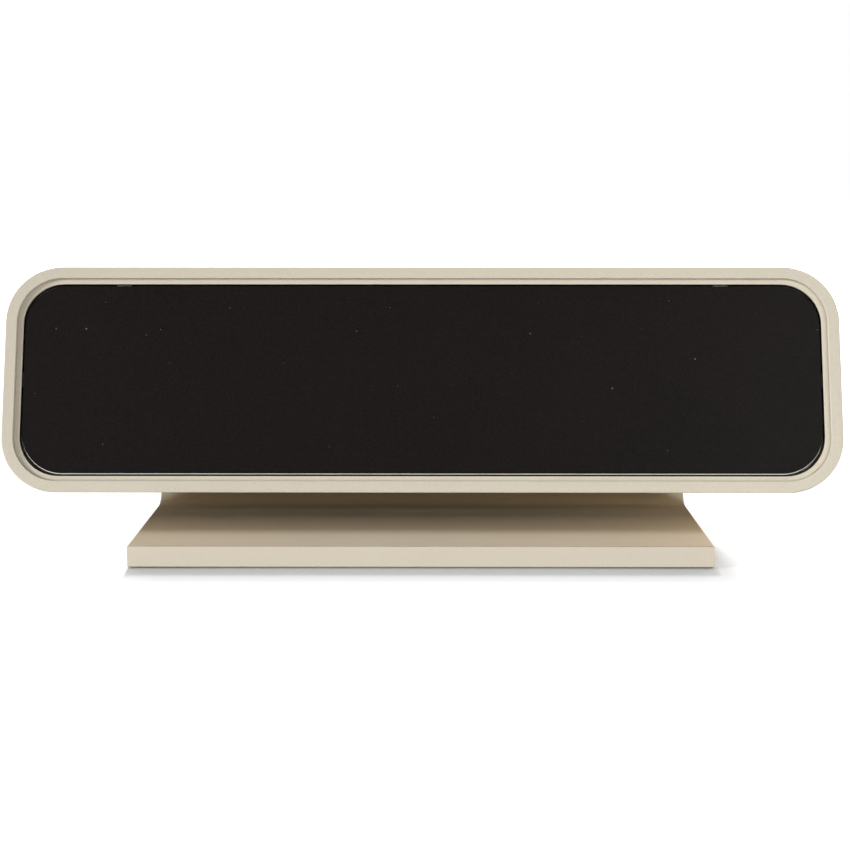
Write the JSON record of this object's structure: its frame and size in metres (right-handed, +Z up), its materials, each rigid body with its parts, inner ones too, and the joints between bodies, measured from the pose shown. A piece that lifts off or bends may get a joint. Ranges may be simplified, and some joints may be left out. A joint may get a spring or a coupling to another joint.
{
  "type": "desk name plate",
  "caption": "Leaned-back desk name plate: a rounded moulded frame with a stepped border holds a blank press-in name insert and slides onto a low stand with a wide foot plate.",
  "frame": {"origin": "on the desk, under the middle of the foot plate, at the height of the foot pads' undersides", "axes": "+X to the right for someone reading the plate, +Y away from that reader, +Z up"},
  "size_m": [0.2126, 0.072, 0.0644],
  "materials": {
    "putty_plastic": "fine matt moulded texture",
    "black_laminate": "satin, fine grain",
    "pale_laminate": "matt, cut edge",
    "foot_rubber": "matt"
  },
  "bodies": {
    "stand": {"stand": "putty_plastic", "foot_front_left": "foot_rubber", "foot_front_right": "foot_rubber", "foot_rear_left": "foot_rubber", "foot_rear_right": "foot_rubber"},
    "frame": {"frame": "putty_plastic"},
    "insert": {"insert_core_layer": "pale_laminate", "insert_face_layer": "black_laminate"}
  },
  "joints": [
    {"name": "frame_lift", "type": "slide", "parent": "stand", "child": "frame", "axis": [0, 0.3057, 0.9521], "range_m": [0, 0.04]},
    {"name": "insert_pull", "type": "slide", "parent": "frame", "child": "insert", "axis": [0, -0.9521, 0.3057], "range_m": [0, 0.008]}
  ]
}
